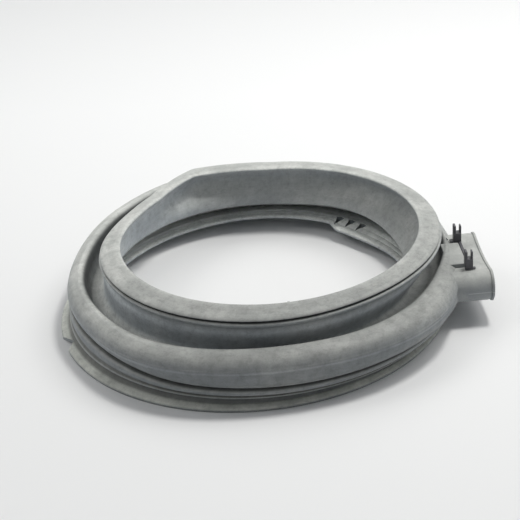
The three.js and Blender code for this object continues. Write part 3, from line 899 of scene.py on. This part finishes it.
# Grey door-seal rubber: chalky bloom and painted top light on top faces, painted light and shade along its
# section and by place, smears, streaks and a fine grain.
def rubber_material():
    mat, nodes, links, shader = material("grey_rubber")
    coords = nodes.new("ShaderNodeTexCoord")
    here, around = coords.outputs["Object"], coords.outputs["UV"]
    station = axes(nodes, links, around)["Y"]
    colour = mottled_colour(nodes, links, here)
    colour = section_painted_shade(nodes, links, colour, station)
    colour = painted_light_by_place(nodes, links, colour, here, station)
    for wear, vector in ((STREAKS, around), (SMEARS, here), (MARKS, around), (PATCHES, here)):
        colour = worn(nodes, links, colour, vector, wear)
    colour = mix(nodes, links, "MULTIPLY", 1.0, colour, noise_span(nodes, links, here, GRAIN))
    links.new(colour, shader.inputs["Base Color"])
    links.new(noise_span(nodes, links, here, RUBBER_ROUGHNESS), shader.inputs["Roughness"])
    shader.inputs["Specular IOR Level"].default_value = RUBBER_SPECULAR
    fine = bump(nodes, links, shader, here, RUBBER_PORES)
    bump(nodes, links, shader, here, RUBBER_WAVES, fine)
    return mat


# Dark moulded plastic with a fine texture and paler rubbed patches.
def plastic_material():
    mat, nodes, links, shader = material("dark_plastic")
    coords = nodes.new("ShaderNodeTexCoord").outputs["Object"]
    colour = ramp(nodes, links, noise(nodes, links, coords, *PLASTIC_NOISE), PLASTIC_COLOURS)
    links.new(colour, shader.inputs["Base Color"])
    links.new(noise_span(nodes, links, coords, PLASTIC_ROUGHNESS), shader.inputs["Roughness"])
    bump(nodes, links, shader, coords, PLASTIC_PORES)
    return mat


# A pale floor, with painted shade that darkens it towards the front.
def floor_material():
    mat, nodes, links, shader = material("pale_floor")
    coords = nodes.new("ShaderNodeTexCoord").outputs["Object"]
    depth = span(nodes, links, axes(nodes, links, coords)["Y"], *FLOOR_SHADE_DEPTH)
    colour = ramp(nodes, links, depth, [(at, grey(tone)) for at, tone in FLOOR_SHADED_GREYS])
    links.new(colour, shader.inputs["Base Color"])
    shader.inputs["Roughness"].default_value = FLOOR_ROUGHNESS
    shader.inputs["Specular IOR Level"].default_value = FLOOR_SPECULAR
    return mat


def floor():
    verts = [(x * FLOOR_SIZE, y * FLOOR_SIZE, 0) for x, y in ((-1, -1), (1, -1), (1, 1), (-1, 1))]
    obj = new_object("floor", verts, [(0, 1, 2, 3)])
    obj.data.materials.append(floor_material())


def camera():
    data = bpy.data.cameras.new("camera")
    data.sensor_width = SENSOR_MM
    data.lens = SENSOR_MM * FOCAL_PX / FRAME_PX
    data.clip_end = 50
    obj = bpy.data.objects.new("camera", data)
    bpy.context.scene.collection.objects.link(obj)
    place_m = MM * Vector(CAMERA_PLACE)
    target = MM * Vector(CAMERA_TARGET)
    look = (target - place_m).to_track_quat("-Z", "Y").to_matrix().to_4x4()
    obj.matrix_world = Matrix.Translation(place_m) @ look @ Matrix.Rotation(CAMERA_ROLL, 4, "Z")
    bpy.context.scene.camera = obj


# A round lamp whose light on a surface that faces it adds up to its level.
def lamp(name, place_m, size, level):
    data = bpy.data.lights.new(name, "AREA")
    data.shape = "DISK"
    data.size = size
    data.energy = level * math.pi ** 2 * Vector(place_m).length_squared
    data.color = LAMP_COLOUR
    obj = bpy.data.objects.new(name, data)
    bpy.context.scene.collection.objects.link(obj)
    aim = (-Vector(place_m)).to_track_quat("-Z", "Y").to_matrix().to_4x4()
    obj.matrix_world = Matrix.Translation(Vector(place_m)) @ aim


# Soft light from all round, set apart for the back, the sides and above.
def sky_strength(nodes, links):
    split = axes(nodes, links, nodes.new("ShaderNodeTexCoord").outputs["Generated"])
    total = maths(nodes, links, "ADD", SKY["even"], 0.0)
    for axis, sign, part in (("X", -1, "left"), ("X", 1, "right"), ("Y", 1, "back"), ("Z", 1, "up")):
        facing = maths(nodes, links, "MULTIPLY", split[axis], sign * SKY[part])
        total = maths(nodes, links, "ADD", total, maths(nodes, links, "MAXIMUM", facing, 0.0))
    return total


def world():
    scene_world = bpy.data.worlds.new("studio")
    bpy.context.scene.world = scene_world
    scene_world.use_nodes = True
    nodes, links = scene_world.node_tree.nodes, scene_world.node_tree.links
    nodes.clear()
    output = nodes.new("ShaderNodeOutputWorld")
    light = nodes.new("ShaderNodeBackground")
    light.inputs["Color"].default_value = SKY_COLOUR
    links.new(sky_strength(nodes, links), light.inputs["Strength"])
    seen = nodes.new("ShaderNodeBackground")
    seen.inputs["Color"].default_value = (1, 1, 1, 1)
    choose = nodes.new("ShaderNodeMixShader")
    path = nodes.new("ShaderNodeLightPath")
    direct = maths(nodes, links, "MAXIMUM", path.outputs["Is Camera Ray"], path.outputs["Is Glossy Ray"])
    direct = maths(nodes, links, "MAXIMUM", direct, path.outputs["Is Transmission Ray"])
    links.new(direct, choose.inputs[0])
    links.new(light.outputs[0], choose.inputs[1])
    links.new(seen.outputs[0], choose.inputs[2])
    links.new(choose.outputs[0], output.inputs["Surface"])


camera()
world()
floor()
for name, place_m, size, level in LAMPS:
    lamp(name, place_m, size, level)

seal = door_seal()
seal.data.materials.clear()
seal.data.materials.append(rubber_material())
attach(seal, "root")
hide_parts("door_seal")

clip = duct_clip()
clip.data.materials.clear()
clip.data.materials.append(plastic_material())
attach(clip, "root")
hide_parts("duct_clip")

bpy.context.scene.view_settings.view_transform = "Standard"
